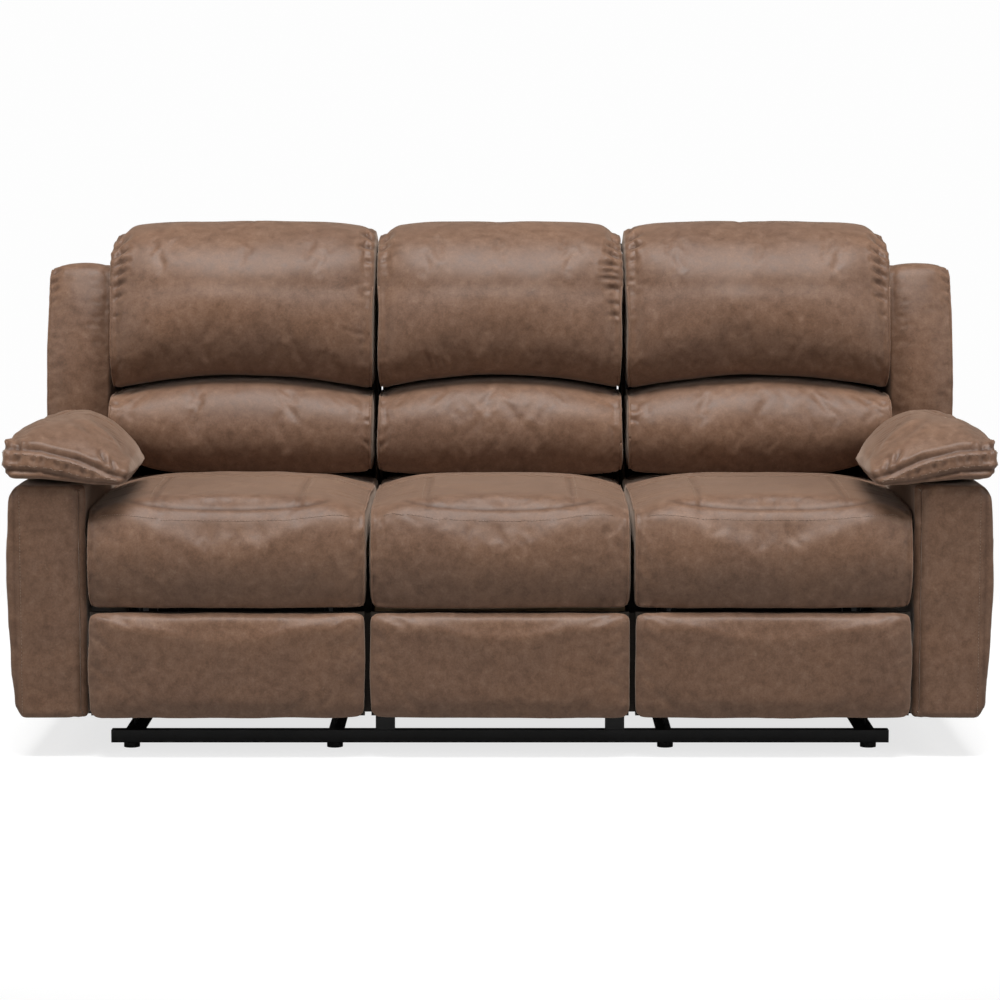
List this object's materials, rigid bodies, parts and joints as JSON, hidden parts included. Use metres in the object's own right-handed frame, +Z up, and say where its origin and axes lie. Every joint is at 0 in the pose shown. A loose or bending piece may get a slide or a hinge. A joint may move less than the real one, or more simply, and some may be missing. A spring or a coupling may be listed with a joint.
{
  "type": "reclining sofa",
  "caption": "Three-seat sofa on a steel base with pillow arms, wings and split back cushions. Each outer seat reclines and folds out a footrest.",
  "frame": {"origin": "on the floor under the middle of the sofa", "axes": "+X to the right seen from the front, -Y towards the front, +Z up"},
  "size_m": [1.933, 0.9502, 1.0324],
  "materials": {
    "upholstery": "satin",
    "timber": "matte",
    "black_steel": "satin",
    "spring_steel": "satin",
    "black_plastic": "matte"
  },
  "bodies": {
    "sofa_base": {"front_base_rail": "black_steel", "rear_base_rail": "black_steel", "base_side_rails": "black_steel", "base_feet": "black_plastic", "centre_seat_posts": "black_steel", "centre_seat_frame": "timber", "centre_seat_springs": "spring_steel", "centre_seat_cushion": "upholstery", "centre_panel_board": "timber", "centre_panel_pad": "upholstery", "centre_back_frame": "timber", "centre_back_cover": "upholstery", "centre_lumbar_cushion": "upholstery", "centre_upper_cushion": "upholstery", "left_arm_frame": "timber", "left_arm_cover": "upholstery", "left_arm_pad": "upholstery", "left_handle_bezel": "black_plastic", "left_release_cable": "black_plastic", "left_base_plates": "black_steel", "right_arm_frame": "timber", "right_arm_cover": "upholstery", "right_arm_pad": "upholstery", "right_handle_bezel": "black_plastic", "right_release_cable": "black_plastic", "right_base_plates": "black_steel"},
    "left_front_rocker": {"left_front_rockers": "black_steel"},
    "left_rear_rocker": {"left_rear_rockers": "black_steel"},
    "left_seat": {"left_seat_plates": "black_steel", "left_seat_frame": "timber", "left_seat_springs": "spring_steel", "left_seat_cushion": "upholstery"},
    "left_drive_link": {"left_drive_links": "black_steel"},
    "left_carrier_link": {"left_carrier_links": "black_steel"},
    "left_footrest": {"left_footrest_board": "timber", "left_footrest_pad": "upholstery"},
    "left_backrest": {"left_back_brackets": "black_steel", "left_back_frame": "timber", "left_back_cover": "upholstery", "left_lumbar_cushion": "upholstery", "left_upper_cushion": "upholstery", "left_wing_cushion": "upholstery"},
    "left_handle": {"left_handle_lever": "black_plastic"},
    "right_front_rocker": {"right_front_rockers": "black_steel"},
    "right_rear_rocker": {"right_rear_rockers": "black_steel"},
    "right_seat": {"right_seat_plates": "black_steel", "right_seat_frame": "timber", "right_seat_springs": "spring_steel", "right_seat_cushion": "upholstery"},
    "right_drive_link": {"right_drive_links": "black_steel"},
    "right_carrier_link": {"right_carrier_links": "black_steel"},
    "right_footrest": {"right_footrest_board": "timber", "right_footrest_pad": "upholstery"},
    "right_backrest": {"right_back_brackets": "black_steel", "right_back_frame": "timber", "right_back_cover": "upholstery", "right_lumbar_cushion": "upholstery", "right_upper_cushion": "upholstery", "right_wing_cushion": "upholstery"},
    "right_handle": {"right_handle_lever": "black_plastic"}
  },
  "joints": [
    {"name": "left_back_recline", "type": "hinge", "parent": "left_seat", "child": "left_backrest", "pos_m": [-0.533, 0.29, 0.322], "axis": [-1, 0, 0], "range_deg": [0, 30]},
    {"name": "left_front_rocker_swing", "type": "hinge", "parent": "sofa_base", "child": "left_front_rocker", "pos_m": [-0.533, -0.23, 0.14], "axis": [1, 0, 0], "range_deg": [0, 36]},
    {"name": "left_rear_rocker_swing", "type": "hinge", "parent": "sofa_base", "child": "left_rear_rocker", "pos_m": [-0.533, 0.08, 0.14], "axis": [1, 0, 0], "range_deg": [0, 36]},
    {"name": "left_seat_swing", "type": "hinge", "parent": "left_front_rocker", "child": "left_seat", "pos_m": [-0.533, -0.1991, 0.23511], "axis": [-1, 0, 0], "range_deg": [0, 36]},
    {"name": "left_footrest_extend", "type": "hinge", "parent": "left_seat", "child": "left_drive_link", "pos_m": [-0.533, -0.3, 0.312], "axis": [-1, 0, 0], "range_deg": [0, 104]},
    {"name": "left_carrier_swing", "type": "hinge", "parent": "left_drive_link", "child": "left_carrier_link", "pos_m": [-0.533, -0.17282, 0.10847], "axis": [1, 0, 0], "range_deg": [0, 85]},
    {"name": "left_footrest_tilt", "type": "hinge", "parent": "left_carrier_link", "child": "left_footrest", "pos_m": [-0.533, -0.40107, 0.18263], "axis": [-1, 0, 0], "range_deg": [0, 71]},
    {"name": "left_handle_pull", "type": "hinge", "parent": "sofa_base", "child": "left_handle", "pos_m": [-0.953, -0.19, 0.4], "axis": [0, 0, 1], "range_deg": [0, 30], "stiffness_Nm_per_rad": 1, "springref_deg": -8.59},
    {"name": "right_back_recline", "type": "hinge", "parent": "right_seat", "child": "right_backrest", "pos_m": [0.533, 0.29, 0.322], "axis": [-1, 0, 0], "range_deg": [0, 30]},
    {"name": "right_front_rocker_swing", "type": "hinge", "parent": "sofa_base", "child": "right_front_rocker", "pos_m": [0.533, -0.23, 0.14], "axis": [1, 0, 0], "range_deg": [0, 36]},
    {"name": "right_rear_rocker_swing", "type": "hinge", "parent": "sofa_base", "child": "right_rear_rocker", "pos_m": [0.533, 0.08, 0.14], "axis": [1, 0, 0], "range_deg": [0, 36]},
    {"name": "right_seat_swing", "type": "hinge", "parent": "right_front_rocker", "child": "right_seat", "pos_m": [0.533, -0.1991, 0.23511], "axis": [-1, 0, 0], "range_deg": [0, 36]},
    {"name": "right_footrest_extend", "type": "hinge", "parent": "right_seat", "child": "right_drive_link", "pos_m": [0.533, -0.3, 0.312], "axis": [-1, 0, 0], "range_deg": [0, 104]},
    {"name": "right_carrier_swing", "type": "hinge", "parent": "right_drive_link", "child": "right_carrier_link", "pos_m": [0.533, -0.17282, 0.10847], "axis": [1, 0, 0], "range_deg": [0, 85]},
    {"name": "right_footrest_tilt", "type": "hinge", "parent": "right_carrier_link", "child": "right_footrest", "pos_m": [0.533, -0.40107, 0.18263], "axis": [-1, 0, 0], "range_deg": [0, 71]},
    {"name": "right_handle_pull", "type": "hinge", "parent": "sofa_base", "child": "right_handle", "pos_m": [0.953, -0.19, 0.4], "axis": [0, 0, -1], "range_deg": [0, 30], "stiffness_Nm_per_rad": 1, "springref_deg": -8.59}
  ],
  "couplings": [
    {"joint": "left_front_rocker_swing", "follows": "left_back_recline", "ratio": 1.2},
    {"joint": "left_rear_rocker_swing", "follows": "left_back_recline", "ratio": 1.2},
    {"joint": "left_seat_swing", "follows": "left_back_recline", "ratio": 1.2},
    {"joint": "left_carrier_swing", "follows": "left_footrest_extend", "ratio": 0.81731},
    {"joint": "left_footrest_tilt", "follows": "left_footrest_extend", "ratio": 0.68269},
    {"joint": "right_front_rocker_swing", "follows": "right_back_recline", "ratio": 1.2},
    {"joint": "right_rear_rocker_swing", "follows": "right_back_recline", "ratio": 1.2},
    {"joint": "right_seat_swing", "follows": "right_back_recline", "ratio": 1.2},
    {"joint": "right_carrier_swing", "follows": "right_footrest_extend", "ratio": 0.81731},
    {"joint": "right_footrest_tilt", "follows": "right_footrest_extend", "ratio": 0.68269}
  ]
}
